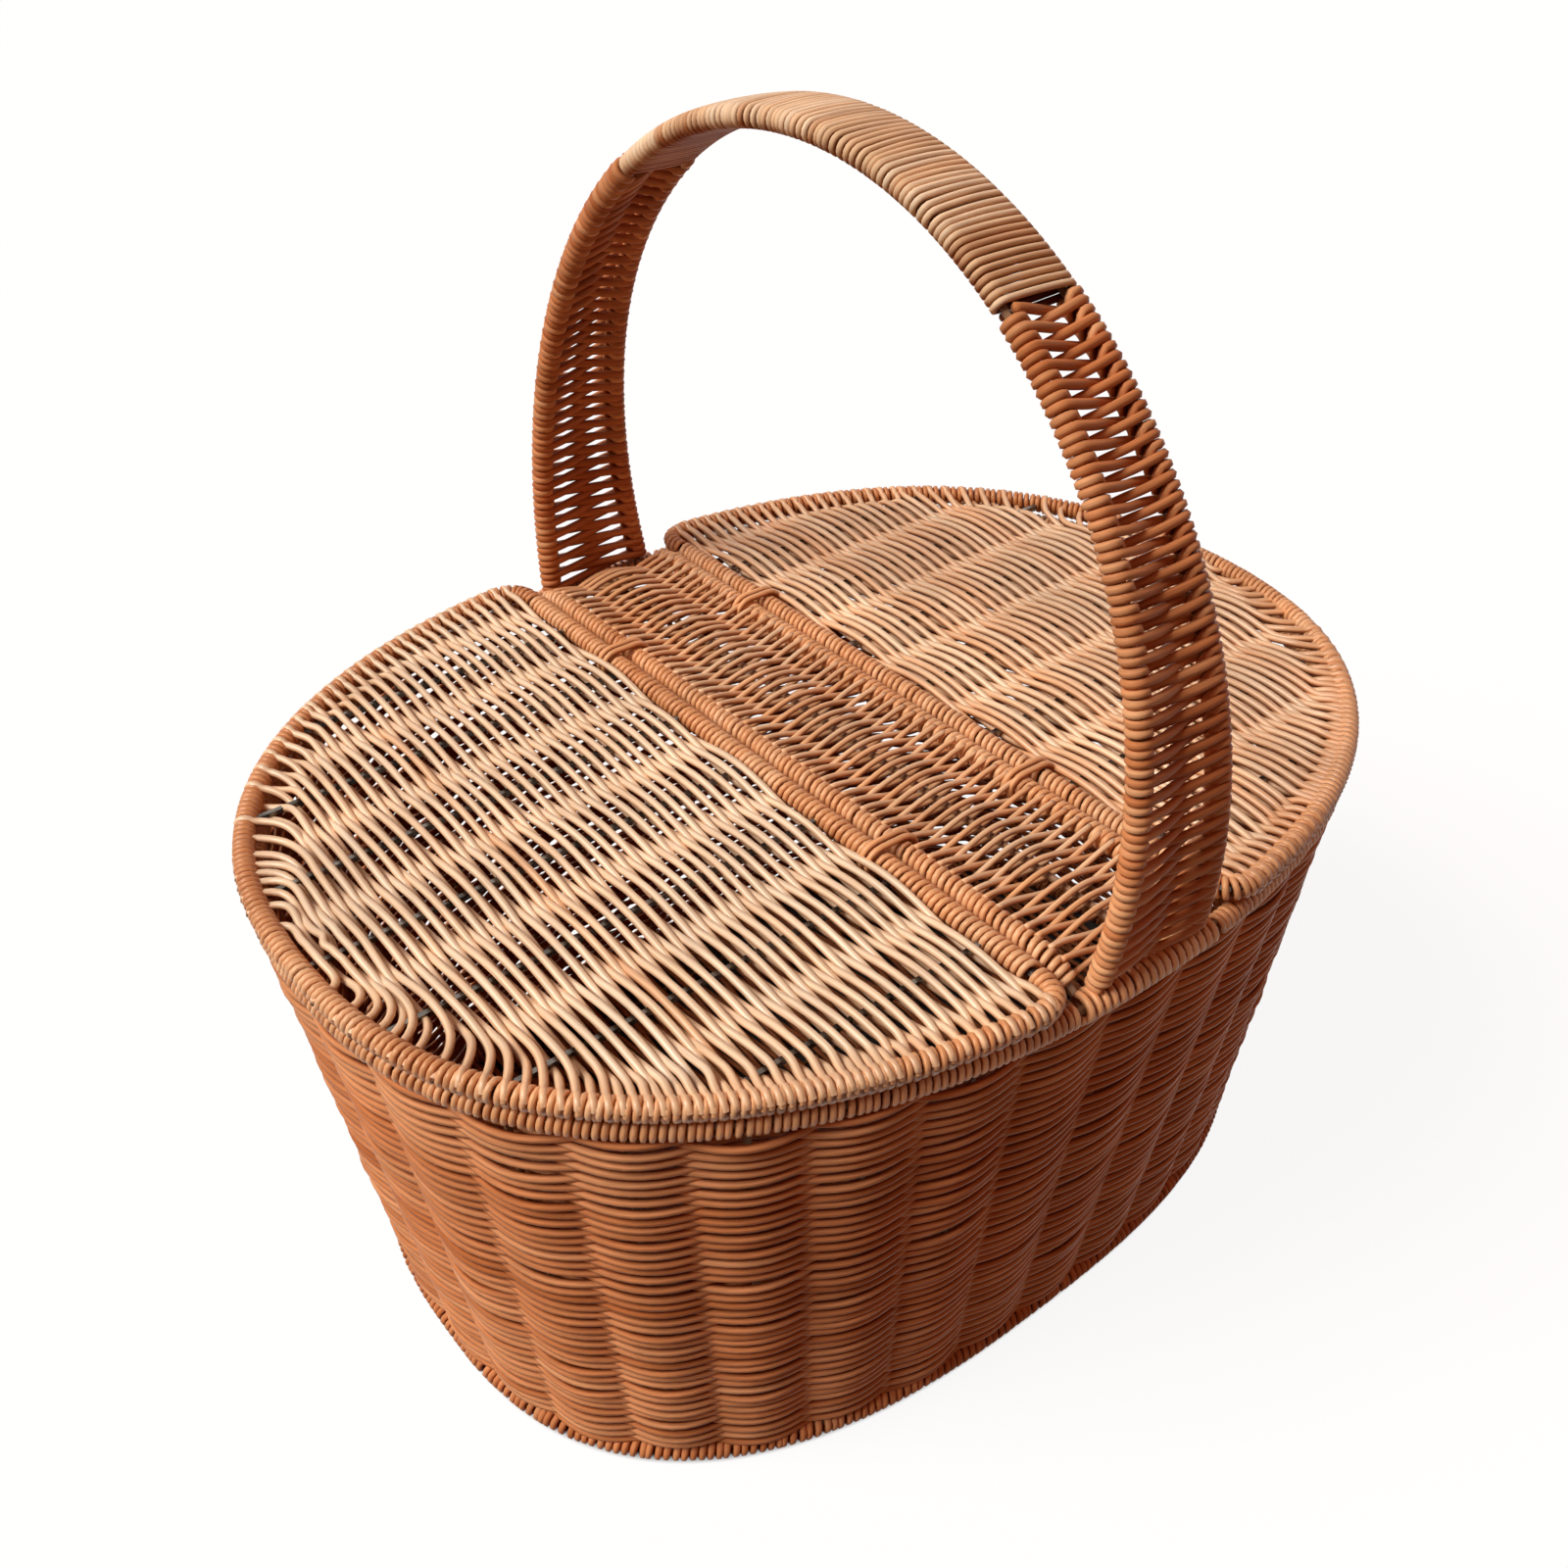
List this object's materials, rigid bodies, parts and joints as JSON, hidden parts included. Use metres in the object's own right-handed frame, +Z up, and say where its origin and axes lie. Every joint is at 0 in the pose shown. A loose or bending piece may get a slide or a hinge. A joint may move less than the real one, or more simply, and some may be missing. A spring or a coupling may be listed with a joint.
{
  "type": "picnic basket",
  "caption": "Oval woven picnic basket with a tapered tub, a fixed arched handle over a central bridge, and D-shaped lids either side that swing up on tied hinges.",
  "frame": {"origin": "on the floor under the middle of the tub", "axes": "+X along the oval towards the right lid, +Y along the bridge and the hinge lines towards the back, +Z up"},
  "size_m": [0.4002, 0.3098, 0.3952],
  "materials": {
    "wire": "satin brown coat on steel wire",
    "strand_caramel": "satin round plastic strand",
    "strand_tan": "satin round plastic strand",
    "strand_russet": "satin round plastic strand"
  },
  "bodies": {
    "basket": {"body_wire_cage": "wire", "side_weave": "strand_caramel", "base_weave": "strand_caramel", "base_binding": "strand_caramel", "rim_binding_left": "strand_caramel", "rim_binding_right": "strand_caramel", "bridge_end_binding_front": "strand_caramel", "bridge_end_binding_back": "strand_caramel", "bridge_rod_left": "wire", "bridge_rod_right": "wire", "bridge_middle_wire": "wire", "bridge_weave": "strand_russet", "bridge_edge_binding_left": "strand_caramel", "bridge_edge_binding_right": "strand_caramel", "handle_rod_left": "wire", "handle_rod_right": "wire", "handle_web_front": "strand_russet", "handle_web_back": "strand_russet", "handle_web_top": "strand_russet", "handle_edge_binding_front_left": "strand_caramel", "handle_edge_binding_front_right": "strand_caramel", "handle_edge_binding_back_left": "strand_caramel", "handle_edge_binding_back_right": "strand_caramel", "grip_winding": "strand_caramel", "hinge_tie_left_front": "strand_russet", "hinge_tie_left_back": "strand_russet", "hinge_tie_right_front": "strand_russet", "hinge_tie_right_back": "strand_russet"},
    "lid_left": {"lid_left_wire_frame": "wire", "lid_left_weave": "strand_tan", "lid_left_rim_binding": "strand_tan", "lid_left_hinge_binding": "strand_tan"},
    "lid_right": {"lid_right_wire_frame": "wire", "lid_right_weave": "strand_tan", "lid_right_rim_binding": "strand_tan", "lid_right_hinge_binding": "strand_tan"}
  },
  "joints": [
    {"name": "lid_left_hinge", "type": "hinge", "parent": "basket", "child": "lid_left", "pos_m": [-0.035, 0, 0.194], "axis": [0, 1, 0], "range_deg": [0, 100]},
    {"name": "lid_right_hinge", "type": "hinge", "parent": "basket", "child": "lid_right", "pos_m": [0.035, 0, 0.194], "axis": [0, -1, 0], "range_deg": [0, 100]}
  ]
}
